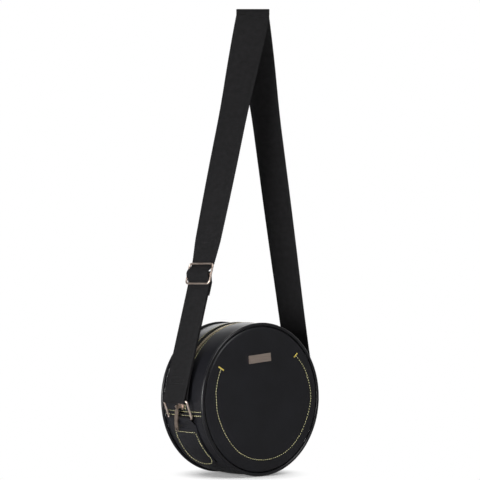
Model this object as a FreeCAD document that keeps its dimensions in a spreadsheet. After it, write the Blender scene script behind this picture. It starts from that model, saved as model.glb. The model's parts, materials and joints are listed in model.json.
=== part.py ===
import FreeCAD, Part
import math
import os
import Sketcher
from FreeCAD import Placement, Rotation, Vector

# A round drum bag held up by its shoulder strap. The construction is drawn about the drum's own
# centre (X to the right seen from the front, front at -Y, Z up); every piece is then moved so that
# the part's origin lies inside the strap's top fold, where a hook or a shoulder bears.

doc = FreeCAD.newDocument("circle_bag")
sheet = doc.addObject("Spreadsheet::Sheet", "sizes")

SIZES = [
    ("bag_radius", 90.0),
    ("bag_depth", 80.0),
    ("bag_roll", 5.0),
    ("crown_arc", 240.0),
    ("leather", 1.6),
    ("cloth", 0.7),
    ("board", 1.5),
    ("play", 0.25),
    ("layer_gap", 0.2),
    ("seam_gap", 0.4),
    ("board_inset", 4.2),
    ("lining_inset", 2.5),
    ("rim_inset", 4.3),
    ("rim_round", 3.5),
    ("piping_wire", 2.0),
    ("seam_drop", 4.2),
    ("zip_opening", 11.0),
    ("tape_reach", 13.0),
    ("tape_thick", 0.6),
    ("tape_sink", 2.3),
    ("tooth_pitch", 2.8),
    ("tooth_tall", 2.7),
    ("tooth_wide", 2.6),
    ("tooth_mesh", 0.8),
    ("tooth_gap", 0.25),
    ("grip_gap", 0.1),
    ("zip_start", 178.4),
    ("zip_finish", 8.0),
    ("slider_rest", 177.0),
    ("slider_long", 11.0),
    ("slider_wide", 9.6),
    ("wing_thick", 1.2),
    ("wing_gap", 0.3),
    ("lug_round", 1.6),
    ("lug_thick", 1.0),
    ("lug_gap", 4.4),
    ("pin_lag", 3.0),
    ("pin_rise", 5.0),
    ("pin_radius", 0.8),
    ("eye_gap", 0.6),
    ("pull_long", 31.0),
    ("pull_wide", 6.0),
    ("pull_thick", 1.2),
    ("pull_bend", 75.0),
    ("pull_tilt", 6.0),
    ("pull_skew", 15.0),
    ("ring_wire", 2.5),
    ("ring_wide", 43.0),
    ("ring_tall", 22.0),
    ("ring_corner", 2.0),
    ("ring_angle", 187.5),
    ("left_lean", 16.7),
    ("right_lean", 1.8),
    ("tab_thick", 1.1),
    ("loop_gap", 0.15),
    ("loop_play", 1.1),
    ("tab_wide", 45.0),
    ("tab_end_angle", 231.5),
    ("tab_corner", 11.0),
    ("webbing_wide", 40.0),
    ("webbing_thick", 1.4),
    ("webbing_gap", 0.3),
    ("crown_shift", 18.7),
    ("crown_rise", 463.2),
    ("peg_radius", 8.0),
    ("crown_twist", 50.6),
    ("knee_out", 55.6),
    ("knee_rise", 165.0),
    ("adjuster_rise", 147.0),
    ("adjuster_tall", 24.0),
    ("adjuster_wire", 2.4),
    ("adjuster_corner", 3.6),
    ("adjuster_bar", 2.2),
    ("layers_meet", 24.0),
    ("fold_long", 38.0),
    ("sewn_fold", 25.0),
    ("badge_wide", 33.0),
    ("badge_tall", 9.5),
    ("badge_thick", 1.2),
    ("badge_rise", 48.5),
    ("pocket_radius", 75.0),
    ("pocket_top", 43.0),
]
for row, (alias, size) in enumerate(SIZES, start=1):
    sheet.set("A%d" % row, alias)
    sheet.set("B%d" % row, str(size))
    sheet.setAlias("B%d" % row, alias)
doc.recompute()


def val(alias):
    return float(sheet.get(alias))


Y_AXIS = Vector(0, 1, 0)
ORIGIN = Vector(0, 0, 0)
TO_FRAME = Vector(-val("crown_shift"), 0, -val("crown_rise"))
HALF = val("bag_depth") / 2
R = val("bag_radius")
ROLL = val("bag_roll")
PLAY = val("play")
made = []


def bag_place(angle=90.0, shift=ORIGIN):
    # A piece drawn at the drum's top goes to a polar angle (0 at the right, 90 at the top).
    turn = Rotation(Y_AXIS, -ROLL)
    return Placement(TO_FRAME + turn.multVec(shift), Rotation(Y_AXIS, 90.0 - angle - ROLL))


def keep(obj, label, place):
    obj.Label = label
    obj.Placement = place
    made.append(obj)
    return obj


def keep_shape(label, shape, place):
    obj = doc.addObject("Part::Feature", label)
    obj.Shape = shape
    return keep(obj, label, place)


def plane(body, role):
    return [item for item in body.Origin.OriginFeatures if item.Role == role][0]


def new_sketch(body, name, role):
    sketch = body.newObject("Sketcher::SketchObject", name)
    sketch.AttachmentSupport = (plane(body, role), [""])
    sketch.MapMode = "FlatFace"
    return sketch


def bind(sketch, kind, name, expression, *refs):
    # A measured constraint that follows the sheet.
    index = sketch.addConstraint(Sketcher.Constraint(kind, *refs))
    sketch.renameConstraint(index, name)
    sketch.setExpression("Constraints." + name, expression)


def number(expression):
    # The present value of a sheet expression, to draw a sketch near its final shape.
    cell = "D1"
    sheet.set(cell, "=" + expression.replace("sizes.", ""))
    doc.recompute()
    found = float(sheet.get(cell))
    sheet.clear(cell)
    return found


def turn_profile(body, sketch, name, span):
    turn = body.newObject("PartDesign::Revolution", name + "_turn")
    turn.Profile = sketch
    turn.ReferenceAxis = (sketch, ["H_Axis"])
    if span is None:
        turn.Angle = 360.0
    else:
        turn.Midplane = True
        turn.setExpression("Angle", span)
    return turn


def crowned_band(name, edge_a, edge_b, depth, thick, span, angle):
    # A strip round the drum. Its outer face follows the drum's crowned side at some depth below it.
    body = doc.addObject("PartDesign::Body", name)
    sketch = new_sketch(body, name + "_profile", "YZ_Plane")
    low, high = number(edge_a), number(edge_b)
    arc = val("crown_arc")
    centre = Vector(0, R - arc, 0)
    outer = arc - number(depth)
    inner = outer - number(thick)

    def arc_between(radius):
        start = math.acos(high / radius)
        end = math.acos(low / radius)
        return Part.ArcOfCircle(Part.Circle(centre, Vector(0, 0, 1), radius), start, end)

    sketch.addGeometry(arc_between(outer))
    sketch.addGeometry(arc_between(inner))
    ends = [sketch.getPoint(0, 2), sketch.getPoint(1, 2), sketch.getPoint(1, 1), sketch.getPoint(0, 1)]
    sketch.addGeometry(Part.LineSegment(ends[0], ends[1]))
    sketch.addGeometry(Part.LineSegment(ends[2], ends[3]))
    for refs in ((0, 2, 2, 1), (2, 2, 1, 2), (1, 1, 3, 1), (3, 2, 0, 1), (0, 3, 1, 3)):
        sketch.addConstraint(Sketcher.Constraint("Coincident", *refs))
    sketch.addConstraint(Sketcher.Constraint("Vertical", 2))
    sketch.addConstraint(Sketcher.Constraint("Vertical", 3))
    sketch.addConstraint(Sketcher.Constraint("PointOnObject", 0, 3, -2))
    bind(sketch, "DistanceY", "middle", "sizes.bag_radius - sizes.crown_arc", -1, 1, 0, 3, centre.y)
    bind(sketch, "Radius", "outer", "sizes.crown_arc - (%s)" % depth, 0, outer)
    bind(sketch, "Radius", "inner", "sizes.crown_arc - (%s) - (%s)" % (depth, thick), 1, inner)
    bind(sketch, "DistanceX", "edge_a", edge_a, -1, 1, 2, 1, low)
    bind(sketch, "DistanceX", "edge_b", edge_b, -1, 1, 3, 1, high)
    doc.recompute()
    turn_profile(body, sketch, name, span)
    return keep(body, name, bag_place(angle))


# Front and back panels: a leather disc whose rim rolls back towards the piping.
def panel(name, side):
    body = doc.addObject("PartDesign::Body", name)
    sketch = new_sketch(body, name + "_profile", "YZ_Plane")
    rim = R - val("rim_inset")
    roll = val("rim_round")
    skin = val("leather")
    hub = Vector(side * (HALF - roll), rim - roll, 0)
    up = Vector(0, 1, 0)
    out = Vector(side, 0, 0)
    corners = [
        Vector(side * HALF, 0, 0),
        hub + out * roll,
        hub + up * roll,
        hub + up * (roll - skin),
        hub + out * (roll - skin),
        Vector(side * (HALF - skin), 0, 0),
    ]
    first, last = (0.0, math.pi / 2) if side > 0 else (math.pi / 2, math.pi)
    toward, away = (1, 2) if side > 0 else (2, 1)
    sketch.addGeometry(Part.LineSegment(corners[0], corners[1]))
    sketch.addGeometry(Part.ArcOfCircle(Part.Circle(hub, Vector(0, 0, 1), roll), first, last))
    sketch.addGeometry(Part.LineSegment(corners[2], corners[3]))
    sketch.addGeometry(Part.ArcOfCircle(Part.Circle(hub, Vector(0, 0, 1), roll - skin), first, last))
    sketch.addGeometry(Part.LineSegment(corners[4], corners[5]))
    sketch.addGeometry(Part.LineSegment(corners[5], corners[0]))
    joins = ((0, 2, 1, toward), (1, away, 2, 1), (2, 2, 3, away))
    joins += ((3, toward, 4, 1), (4, 2, 5, 1), (5, 2, 0, 1))
    for refs in joins:
        sketch.addConstraint(Sketcher.Constraint("Coincident", *refs))
    sketch.addConstraint(Sketcher.Constraint("Coincident", 1, 3, 3, 3))
    for line in (0, 2, 4):
        sketch.addConstraint(Sketcher.Constraint("Vertical", line))
    sketch.addConstraint(Sketcher.Constraint("PointOnObject", 0, 1, -1))
    sketch.addConstraint(Sketcher.Constraint("PointOnObject", 4, 2, -1))
    sketch.addConstraint(Sketcher.Constraint("Vertical", 1, away, 1, 3))
    sketch.addConstraint(Sketcher.Constraint("Horizontal", 1, toward, 1, 3))
    sketch.addConstraint(Sketcher.Constraint("Horizontal", 3, toward, 3, 3))
    bind(sketch, "Radius", "outer_roll", "sizes.rim_round", 1, roll)
    bind(sketch, "Radius", "inner_roll", "sizes.rim_round - sizes.leather", 3, roll - skin)
    across = "%d * (sizes.bag_depth / 2 - sizes.rim_round)" % side
    bind(sketch, "DistanceX", "hub_across", across, -1, 1, 1, 3, hub.x)
    rise = "sizes.bag_radius - sizes.rim_inset - sizes.rim_round"
    bind(sketch, "DistanceY", "hub_rise", rise, -1, 1, 1, 3, hub.y)
    doc.recompute()
    turn_profile(body, sketch, name, None)
    return keep(body, name, bag_place())


# A flat round layer behind a panel: stiffening board or lining, lying along Y.
def disc(name, side, inset, depth, thick):
    item = doc.addObject("Part::Cylinder", name)
    item.setExpression("Radius", "sizes.bag_radius - sizes.rim_inset - (%s)" % inset)
    item.setExpression("Height", thick)
    near = HALF - number(depth)
    start = -near if side < 0 else near - number(thick)
    lay = Placement(Vector(0, start, 0), Rotation(Vector(1, 0, 0), -90))
    return keep(item, name, bag_place().multiply(lay))


BOARD_DEPTH = "sizes.leather + sizes.layer_gap"
LINING_DEPTH = "sizes.leather + sizes.board + 2 * sizes.layer_gap"
for word, side in (("front", -1), ("back", 1)):
    panel(word + "_panel", side)
    disc(word + "_board", side, "sizes.board_inset", BOARD_DEPTH, "sizes.board")
    disc(word + "_lining", side, "sizes.lining_inset", LINING_DEPTH, "sizes.cloth")

# Piping: a covered cord round each panel, just outside the panel's rim.
for word, side in (("front", -1), ("back", 1)):
    cord = doc.addObject("Part::Torus", word + "_piping")
    cord.setExpression("Radius1", "sizes.bag_radius - sizes.piping_wire")
    cord.setExpression("Radius2", "sizes.piping_wire")
    middle = side * (HALF - val("piping_wire") - val("seam_gap"))
    lay = Placement(Vector(0, middle, 0), Rotation(Vector(1, 0, 0), 90))
    keep(cord, word + "_piping", bag_place().multiply(lay))

# The side of the drum: two leather strips beside the zip above, one wide strip below,
# each with its own lining inside. The strips stop short of the piping.
EDGE = "(sizes.bag_depth / 2 - 2 * sizes.piping_wire - 2 * sizes.seam_gap)"
UPPER = "180 + 2 * sizes.seam_drop - 0.2"
LOWER = "180 - 2 * sizes.seam_drop - 0.2"
LIP = "(sizes.zip_opening / 2)"
UNDER = "sizes.leather + sizes.play"
crowned_band("zip_gusset_front", "-" + EDGE, "-" + LIP, "0", "sizes.leather", UPPER, 90)
crowned_band("zip_gusset_back", LIP, EDGE, "0", "sizes.leather", UPPER, 90)
crowned_band("lower_gusset", "-" + EDGE, EDGE, "0", "sizes.leather", LOWER, 270)
crowned_band("lower_lining", "-" + EDGE, EDGE, UNDER, "sizes.cloth", LOWER, 270)
REACH = "sizes.tape_reach + sizes.seam_gap"
crowned_band("zip_lining_front", "-" + EDGE, "-(%s)" % REACH, UNDER, "sizes.cloth", UPPER, 90)
crowned_band("zip_lining_back", REACH, EDGE, UNDER, "sizes.cloth", UPPER, 90)

# Zip tapes: each lies under a leather strip and reaches into the opening as far as its teeth.
TAPE_EDGE = "(sizes.tooth_wide / 2 + sizes.grip_gap / 2)"
for word, first, last in (
    ("front", "-sizes.tape_reach", "-" + TAPE_EDGE),
    ("back", TAPE_EDGE, "sizes.tape_reach"),
):
    crowned_band("zip_tape_" + word, first, last, "sizes.tape_sink", "sizes.tape_thick", UPPER, 90)

# Zip teeth: small metal clamps that grip the tape's edge and mesh with those of the other tape.
MID = R - val("tape_sink") - val("tape_thick") / 2
PITCH_ANGLE = math.degrees(val("tooth_pitch") / MID)


def tooth(side):
    back = val("tooth_wide")
    head = val("tooth_mesh")
    half = val("tooth_tall") / 2
    slot = val("tape_thick") / 2 + val("grip_gap")
    throat = back / 2
    outline = [
        (head, -half),
        (head, half),
        (-back, half),
        (-back, slot),
        (-throat, slot),
        (-throat, -slot),
        (-back, -slot),
        (-back, -half),
    ]
    long = val("tooth_pitch") / 2 - val("tooth_gap")
    points = [Vector(-long / 2, -side * y, MID + z) for y, z in outline]
    return Part.Face(Part.makePolygon(points + points[:1])).extrude(Vector(long, 0, 0))


def chain(name, side, lag):
    pattern = tooth(side)
    count = int((val("zip_start") - val("zip_finish")) / PITCH_ANGLE) - 1
    teeth = []
    for i in range(count):
        copy = pattern.copy()
        angle = val("zip_start") - (i + 0.5 + lag) * PITCH_ANGLE
        copy.rotate(ORIGIN, Y_AXIS, 90.0 - angle)
        teeth.append(copy)
    keep_shape(name, Part.makeCompound(teeth), bag_place())


chain("zip_teeth_front", -1, 0.0)
chain("zip_teeth_back", 1, 0.5)


# A block that follows the drum's curve, drawn at the top: radii, Y limits, arc from and to in mm.
def curved_block(low, high, y_from, y_to, arc_from, arc_to):
    corners = [Vector(0, y_from, low), Vector(0, y_to, low), Vector(0, y_to, high), Vector(0, y_from, high)]
    face = Part.Face(Part.makePolygon(corners + corners[:1]))
    face.rotate(ORIGIN, Y_AXIS, math.degrees(arc_from / R))
    return face.revolve(ORIGIN, Y_AXIS, math.degrees((arc_to - arc_from) / R))


# End stops: one clamp on each tape beyond the parked slider, one bridge at the far end.
def end_stops():
    low = MID - val("tooth_tall") / 2
    high = MID + val("tooth_tall") / 2
    lip = val("tooth_wide") / 2 - 0.2
    near = math.radians(90 - val("slider_rest")) * R - val("slider_long") / 2 - 2.0
    far = math.radians(90 - val("zip_finish")) * R + 0.8
    pieces = [
        curved_block(low, high, -lip, -0.2, near, near + 1.5),
        curved_block(low, high, 0.2, lip, near, near + 1.5),
        curved_block(low, high, -lip, lip, far, far + 1.8),
    ]
    keep_shape("zip_end_stops", Part.makeCompound(pieces), bag_place())


end_stops()


# Ring tabs: a leather tongue sewn to the lower side, looped at its upper end round the ring's bar.
BAR_RISE = PLAY + val("tab_thick") + val("loop_gap") + val("ring_wire") / 2


def polar(radius, angle):
    turn = math.radians(angle)
    return Vector(radius * math.cos(turn), 0, radius * math.sin(turn))


def crowned_face(half_wide, rise, thick):
    arc = val("crown_arc")

    def curve(offset):
        drop = (arc + offset) - math.sqrt((arc + offset) ** 2 - half_wide**2)
        ends = [Vector(0, y, R + offset - drop) for y in (-half_wide, half_wide)]
        return Part.Arc(ends[0], Vector(0, 0, R + offset), ends[1]).toShape(), ends

    low, low_ends = curve(rise)
    high, high_ends = curve(rise + thick)
    sides = [Part.makeLine(a, b) for a, b in zip(low_ends, high_ends)]
    return Part.Face(Part.Wire(Part.__sortEdges__([low, high] + sides)))


def rounded_away(side, half, end):
    # What rounding takes off one corner of the tongue's end: its outline, extruded outward.
    corner = val("tab_corner")
    clear = corner / 2
    inner = half - corner
    bow = corner * math.sqrt(0.5)

    def spot(y, past_end):
        return polar(0.8 * R, end) + polar(past_end, end + 90) + Vector(0, side * y, 0)

    arc = Part.Arc(spot(half, -corner), spot(inner + bow, bow - corner), spot(inner, 0))
    rest = Part.makePolygon([spot(inner, 0), spot(inner, clear), spot(half + clear, clear),
                             spot(half + clear, -corner), spot(half, -corner)])
    return Part.Face(Part.Wire([arc.toShape()] + rest.Edges)).extrude(polar(0.4 * R, end))


def tab_shape():
    hole = val("ring_wire") / 2 + val("loop_gap")
    shell = hole + val("tab_thick")
    start = val("ring_angle") + math.degrees((shell - 0.6) / R)
    end = val("tab_end_angle")
    half = val("tab_wide") / 2
    tongue = crowned_face(half, PLAY, val("tab_thick") + 0.5)
    tongue.rotate(ORIGIN, Y_AXIS, 90.0 - start)
    tongue = tongue.revolve(ORIGIN, Y_AXIS, start - end)
    for side in (-1, 1):
        tongue = tongue.cut(rounded_away(side, half, end))
    reach = val("ring_wide") - val("ring_wire") - val("loop_play")
    eye = polar(R + BAR_RISE, val("ring_angle")) - Vector(0, reach / 2, 0)
    loop = Part.makeCylinder(shell, reach, eye, Y_AXIS)
    bore = Part.makeCylinder(hole, 2 * reach, eye - Vector(0, reach / 2, 0), Y_AXIS)
    return loop.fuse(tongue).cut(bore).removeSplitter()


left_tab = tab_shape()
keep_shape("left_tab", left_tab, bag_place())
keep_shape("right_tab", left_tab.mirror(ORIGIN, Vector(1, 0, 0)), bag_place())


# A round wire bent to a rectangle with rounded corners, drawn upright on its lower bar.
def wire_frame(name, wide_size, tall_size, corner_size, wire_size, place):
    body = doc.addObject("PartDesign::Body", name)
    path = new_sketch(body, name + "_path", "YZ_Plane")
    wide = number(wide_size) / 2
    tall = number(tall_size)
    bend = number(corner_size)
    hubs = [Vector(y, z, 0) for y, z in (
        (wide - bend, bend), (wide - bend, tall - bend), (bend - wide, tall - bend), (bend - wide, bend))]
    ways = [Vector(0, -1, 0), Vector(1, 0, 0), Vector(0, 1, 0), Vector(-1, 0, 0)]
    for i in range(4):
        path.addGeometry(Part.LineSegment(hubs[i - 1] + ways[i] * bend, hubs[i] + ways[i] * bend))
    for i in range(4):
        circle = Part.Circle(hubs[i], Vector(0, 0, 1), bend)
        path.addGeometry(Part.ArcOfCircle(circle, math.pi / 2 * (i - 1), math.pi / 2 * i))
    for i in range(4):
        path.addConstraint(Sketcher.Constraint("Tangent", i, 2, 4 + i, 1))
        path.addConstraint(Sketcher.Constraint("Tangent", 4 + i, 2, (i + 1) % 4, 1))
        path.addConstraint(Sketcher.Constraint("Horizontal" if i % 2 == 0 else "Vertical", i))
    for i in range(5, 8):
        path.addConstraint(Sketcher.Constraint("Equal", 4, i))
    path.addConstraint(Sketcher.Constraint("Symmetric", 0, 1, 0, 2, -1, 1))
    bind(path, "Radius", "bend", corner_size, 4, bend)
    bind(path, "DistanceX", "wide", wide_size, 3, 2, 1, 1, 2 * wide)
    bind(path, "DistanceY", "tall", tall_size, 0, 2, 2, 1, tall)
    doc.recompute()
    wire = new_sketch(body, name + "_wire", "XZ_Plane")
    wire.addGeometry(Part.Circle(ORIGIN, Vector(0, 0, 1), number(wire_size) / 2))
    wire.addConstraint(Sketcher.Constraint("Coincident", 0, 3, -1, 1))
    bind(wire, "Radius", "wire", "(%s) / 2" % wire_size, 0, number(wire_size) / 2)
    doc.recompute()
    pipe = body.newObject("PartDesign::AdditivePipe", name + "_pipe")
    pipe.Profile = wire
    pipe.Spine = path
    pipe.Transition = "Round corner"
    return keep(body, name, place)


# Rings: the lower bar lies in the tab's loop, the upper bar in the strap.
for word, side in (("left", -1), ("right", 1)):
    seat = polar(R + BAR_RISE, val("ring_angle"))
    seat.x *= -side
    stand = bag_place(90.0 - side * val(word + "_lean"), seat)
    frame_sizes = ["sizes.ring_" + size for size in ("wide", "tall", "corner", "wire")]
    wire_frame(word + "_ring", *frame_sizes, stand)


# Zip slider: two curved wings joined by a post, with two lugs that carry the pull's cross pin.
def slider():
    low = MID - val("tooth_tall") / 2 - val("wing_gap")
    high = MID + val("tooth_tall") / 2 + val("wing_gap")
    lug = val("lug_round")
    ear = val("lug_thick")
    wing = val("wing_thick")
    half_long = val("slider_long") / 2
    half_wide = val("slider_wide") / 2
    top = high + wing
    pieces = [
        curved_block(high, top, -half_wide, half_wide, -half_long, half_long),
        curved_block(low - wing, low, -half_wide, half_wide, -half_long, half_long),
        curved_block(low - 0.2, high + 0.2, -1.2, 1.2, -half_long + 0.2, -half_long + 1.9),
    ]
    pin = polar(R + val("pin_rise"), 90 + math.degrees(PIN_LAG / R))
    inner = val("lug_gap") / 2
    for y in (-inner - ear, inner):
        foot = curved_block(top - 0.2, R + val("pin_rise"), y, y + ear, -PIN_LAG - lug, lug - PIN_LAG)
        pieces.append(foot)
        pieces.append(Part.makeCylinder(lug, ear, pin + Vector(0, y, 0), Y_AXIS))
    reach = inner + ear / 2
    pieces.append(Part.makeCylinder(val("pin_radius"), 2 * reach, pin - Vector(0, reach, 0), Y_AXIS))
    return pieces[0].fuse(pieces[1:]).removeSplitter()


PIN_LAG = val("pin_lag")
keep_shape("zip_slider", slider(), bag_place(val("slider_rest")))


# Zip pull: a slim bar, bent along the drum, with a loose eye on the slider's pin and a hole below. It
# hangs a little askew.
def pull():
    bend = val("pull_bend")
    half = val("pull_thick") / 2
    hub = Vector(0, 0, -bend)

    def strip(half_wide, start, end):
        sides = ((-half, -half_wide), (half, -half_wide), (half, half_wide), (-half, half_wide))
        corners = [Vector(0, y, z) for z, y in sides]
        face = Part.Face(Part.makePolygon(corners + corners[:1]))
        face.rotate(hub, Y_AXIS, -math.degrees(start / bend))
        return face.revolve(hub, Y_AXIS, -math.degrees((end - start) / bend))

    eye = val("pin_radius") + val("eye_gap")
    neck = 1.4
    long = val("pull_long")
    wide = val("pull_wide") / 2
    bar = strip(wide, 3.6, long)
    tips = [e for e in bar.Edges if e.Length < 2 * val("pull_thick") and e.BoundBox.XMax < -5]
    bar = bar.makeFillet(wide * 0.8, tips)
    barrel = Part.makeCylinder(eye + 0.9, 2 * neck, Vector(0, -neck, 0), Y_AXIS)
    shape = bar.fuse([strip(neck, 0.5, 4.0), barrel])
    shape = shape.cut(Part.makeCylinder(eye, 4 * neck, Vector(0, -2 * neck, 0), Y_AXIS))
    drop = -(long - wide - 1.0)
    return shape.cut(Part.makeCylinder(1.4, 20, Vector(drop, 0, -10), Vector(0, 0, 1))).removeSplitter()


pin_angle = val("slider_rest") + math.degrees(PIN_LAG / R)
pin_seat = polar(R + val("pin_rise"), pin_angle)
askew = Placement(ORIGIN, Rotation(Vector(0, 0, 1), -val("pull_skew")))
keep_shape("zip_pull", pull(), bag_place(pin_angle - val("pull_tilt"), pin_seat).multiply(askew))


# Badge: a bare rectangular metal plate on the front panel.
def badge():
    body = doc.addObject("PartDesign::Body", "badge_plate")
    sketch = new_sketch(body, "badge_outline", "XZ_Plane")
    wide = val("badge_wide") / 2
    tall = val("badge_tall") / 2
    corner = [Vector(x, z, 0) for x, z in ((-wide, -tall), (wide, -tall), (wide, tall), (-wide, tall))]
    for i in range(4):
        sketch.addGeometry(Part.LineSegment(corner[i], corner[(i + 1) % 4]))
    for i in range(4):
        sketch.addConstraint(Sketcher.Constraint("Coincident", i, 2, (i + 1) % 4, 1))
        sketch.addConstraint(Sketcher.Constraint("Horizontal" if i % 2 == 0 else "Vertical", i))
    sketch.addConstraint(Sketcher.Constraint("Symmetric", 0, 1, 2, 1, -1, 1))
    bind(sketch, "DistanceX", "wide", "sizes.badge_wide", 0, 1, 0, 2, 2 * wide)
    bind(sketch, "DistanceY", "tall", "sizes.badge_tall", 1, 1, 1, 2, 2 * tall)
    doc.recompute()
    pad = body.newObject("PartDesign::Pad", "badge_pad")
    pad.Profile = sketch
    pad.setExpression("Length", "sizes.badge_thick")
    doc.recompute()
    shape = body.Shape
    front = -HALF - 0.1 - shape.BoundBox.YMax
    place = bag_place(90.0, Vector(-0.4, front, val("badge_rise")))
    return keep(body, "badge_plate", place)


badge()


# Slip pocket: a cloth panel inside the front lining, sewn along its round edge and open at the top.
def pocket():
    body = doc.addObject("PartDesign::Body", "inner_pocket")
    sketch = new_sketch(body, "pocket_outline", "XZ_Plane")
    radius = val("pocket_radius")
    half = math.sqrt(radius**2 - val("pocket_top") ** 2)
    lift = math.atan2(val("pocket_top"), half)
    circle = Part.Circle(ORIGIN, Vector(0, 0, 1), radius)
    sketch.addGeometry(Part.ArcOfCircle(circle, math.pi - lift, 2 * math.pi + lift))
    ends = [Vector(x, val("pocket_top"), 0) for x in (half, -half)]
    sketch.addGeometry(Part.LineSegment(*ends))
    sketch.addConstraint(Sketcher.Constraint("Coincident", 0, 2, 1, 1))
    sketch.addConstraint(Sketcher.Constraint("Coincident", 0, 1, 1, 2))
    sketch.addConstraint(Sketcher.Constraint("Coincident", 0, 3, -1, 1))
    sketch.addConstraint(Sketcher.Constraint("Horizontal", 1))
    bind(sketch, "Radius", "round", "sizes.pocket_radius", 0, radius)
    bind(sketch, "DistanceY", "top", "sizes.pocket_top", -1, 1, 1, 1, val("pocket_top"))
    doc.recompute()
    pad = body.newObject("PartDesign::Pad", "pocket_pad")
    pad.Profile = sketch
    pad.setExpression("Length", "sizes.cloth")
    doc.recompute()
    depth = number(LINING_DEPTH) + val("cloth") + 0.2
    back = -HALF + depth - body.Shape.BoundBox.YMin
    return keep(body, "inner_pocket", bag_place(90.0, Vector(0, back, 0)))


pocket()


# Strap: one webbing ribbon. It wraps the left ring, climbs the left leg, folds over the top, comes down
# the right leg and folds back round the right ring. Each leg turns on its way to the fold, which faces
# the front left. The left leg bends a little above the adjuster.
def upper_bar(side, lean):
    seat = polar(R + BAR_RISE, val("ring_angle"))
    seat.x *= -side
    tilt = math.radians(lean)
    seat = seat + Vector(side * math.sin(tilt), 0, math.cos(tilt)) * val("ring_tall")
    return Rotation(Y_AXIS, -ROLL).multVec(seat)


LEFT_BAR = upper_bar(-1, val("left_lean"))
RIGHT_BAR = upper_bar(1, val("right_lean"))
PEG = Vector(val("crown_shift"), 0, val("crown_rise") - val("peg_radius"))
THICK = val("webbing_thick")
GAP = val("webbing_gap")
WRAP = val("ring_wire") / 2 + GAP + THICK / 2
CROWN = val("peg_radius") + THICK / 2


def across(twist):
    turn = math.radians(twist)
    return Vector(math.sin(turn), -math.cos(turn), 0)


def section(centre, wide, normal):
    w = wide * (val("webbing_wide") / 2)
    n = normal * (THICK / 2)
    corners = [centre - w - n, centre + w - n, centre + w + n, centre - w + n]
    return Part.makePolygon(corners + corners[:1])


def ribbon(stations):
    return Part.makeLoft([section(*station) for station in stations], True, True)


# How a leg turns: degrees of the fold's turn at each share of the leg, from the ring to the fold.
def leg_twist(share, marks):
    for (a, low), (b, high) in zip(marks, marks[1:]):
        if share <= b:
            return FULL * (low + (high - low) * (share - a) / (b - a))
    return FULL * marks[-1][1]


FULL = val("crown_twist")
LEFT_MARKS = [
    (0.0, 0.0), (0.362, 0.0), (0.385, 0.19), (0.41, 0.2), (0.515, 0.29), (0.62, 0.345), (0.725, 0.36),
    (0.78, 0.42), (1.0, 1.0)]
RIGHT_MARKS = [
    (0.0, 0.0), (0.12, 0.2), (0.24, 0.23), (0.35, 0.29), (0.5, 0.34), (0.72, 0.36), (0.78, 0.46), (1.0, 1.0)]
TOWARD = Vector(-math.cos(math.radians(FULL)), -math.sin(math.radians(FULL)), 0)

# At the adjuster the strap goes behind the frame's lower bar, over its middle bar and the fold sewn
# round that, and behind its upper bar. The wave's height clears both.
HALF_TALL = val("adjuster_tall") / 2
FRAME_OUT = THICK / 2 + GAP + val("adjuster_wire") / 2
BAR_WRAP = val("adjuster_bar") / 2 + 0.2 + THICK / 2
WAVE = FRAME_OUT + BAR_WRAP + THICK + GAP


def wave(distance):
    # Height and slope of the strap's wave, at a distance along the leg from the middle bar.
    if abs(distance) >= HALF_TALL:
        return 0.0, 0.0
    turn = math.pi * distance / HALF_TALL
    return WAVE / 2 * (1 + math.cos(turn)), -WAVE / 2 * math.pi / HALF_TALL * math.sin(turn)


def leg(bar, side, marks, parts, knee=None, adjuster_rise=None):
    # Stations from the ring's bar up to the fold, on the face away from the bag. A leg with a knee
    # runs straight to it, and straight on to the fold.
    top = PEG + TOWARD * (-side * CROWN)
    bend = knee or top
    flat = Vector(bend.x - bar.x, 0, bend.z - bar.z).normalize()
    out = Vector(side * flat.z, 0, -side * flat.x)
    start = bar + out * WRAP
    lower = (bend - start).Length
    length = lower + (top - bend).Length
    line = (bend - start).normalize()
    upper = (top - bend).normalize() if knee else line
    places = [length * i / parts for i in range(parts + 1)]
    middle = None
    if knee:
        middle = (adjuster_rise - start.z) / line.z
        places = [s for s in places if abs(s - middle) > HALF_TALL + 4 and abs(s - lower) > 4]
        places += [lower] + [middle + HALF_TALL * i / 6 for i in range(-6, 7)]
    stations = []
    for s in sorted(places):
        way = line if s < lower else upper
        wide = across(leg_twist(s / length, marks))
        normal = wide.cross(way).normalize() * (1 if side < 0 else -1)
        level = (wide - way * wide.dot(way)).normalize()
        lift, slope = (0.0, 0.0) if middle is None else wave(s - middle)
        centre = start + line * s if s < lower else bend + upper * (s - lower)
        stations.append((centre + normal * lift, level, (normal - line * slope).normalize()))
    return stations, out, start, line


def wrap(bar, out, side, steps):
    # Half a turn under the bar, from the face near the bag to the face away from it.
    wide = across(0)
    turns = []
    for i in range(steps):
        angle = 180.0 * (1 - i / steps)
        normal = Rotation(Y_AXIS, side * angle).multVec(out)
        turns.append((bar + normal * WRAP, wide, normal))
    return turns


LEG_PARTS = 24
KNEE = Vector(-val("knee_out"), 0, val("knee_rise"))
left_leg, left_out, FOOT, LINE = leg(LEFT_BAR, -1, LEFT_MARKS, LEG_PARTS, KNEE, val("adjuster_rise"))
right_leg, right_out, right_foot, right_line = leg(RIGHT_BAR, 1, RIGHT_MARKS, LEG_PARTS)
fold = []
for i in range(1, 8):
    angle = math.pi * i / 8
    normal = TOWARD * math.cos(angle) + Vector(0, 0, math.sin(angle))
    fold.append((PEG + normal * CROWN, across(FULL), normal))
tail = (RIGHT_BAR - right_out * WRAP + right_line * val("fold_long"), across(0), right_out * -1)
strap = wrap(LEFT_BAR, left_out, -1, 8) + left_leg + fold
strap += right_leg[::-1] + wrap(RIGHT_BAR, right_out, 1, 8)[::-1] + [tail]
keep_shape("strap_webbing", ribbon(strap), Placement(TO_FRAME, Rotation()))

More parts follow.
